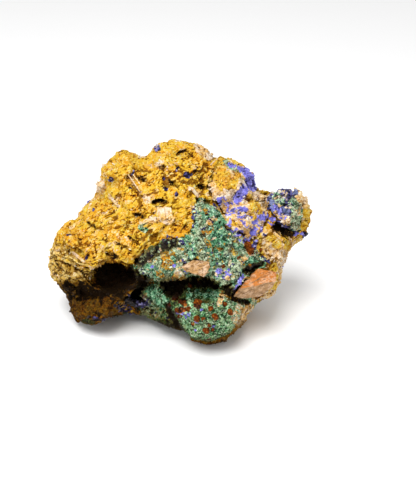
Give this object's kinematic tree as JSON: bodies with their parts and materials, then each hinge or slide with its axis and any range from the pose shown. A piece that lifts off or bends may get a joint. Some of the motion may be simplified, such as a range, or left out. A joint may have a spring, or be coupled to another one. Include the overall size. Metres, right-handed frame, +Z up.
{
  "type": "azurite malachite specimen",
  "caption": "Loose mineral specimen: knobbly limonite matrix with a cave, malachite crusts, azurite crystals and pale spar, resting on its feet.",
  "frame": {"origin": "on the table under the middle of the specimen's bounding box", "axes": "+X runs to the azurite nub, -Y out of the display side, +Z up"},
  "size_m": [0.0808, 0.0528, 0.0553],
  "materials": {
    "limonite": "rough",
    "malachite": "rough",
    "speckled_malachite": "rough",
    "azurite": "glassy",
    "pale_spar": "satin",
    "orange_spar": "satin",
    "tan_spar": "satin"
  },
  "bodies": {
    "root": {"limonite_matrix": "limonite", "malachite_crust": "malachite", "lobe_malachite_crust": "speckled_malachite", "malachite_tuft": "malachite", "azurite_crystals": "azurite", "pale_spar": "pale_spar", "orange_spar_block": "orange_spar", "tan_spar_block": "tan_spar", "hollow_druse": "azurite"}
  },
  "joints": []
}
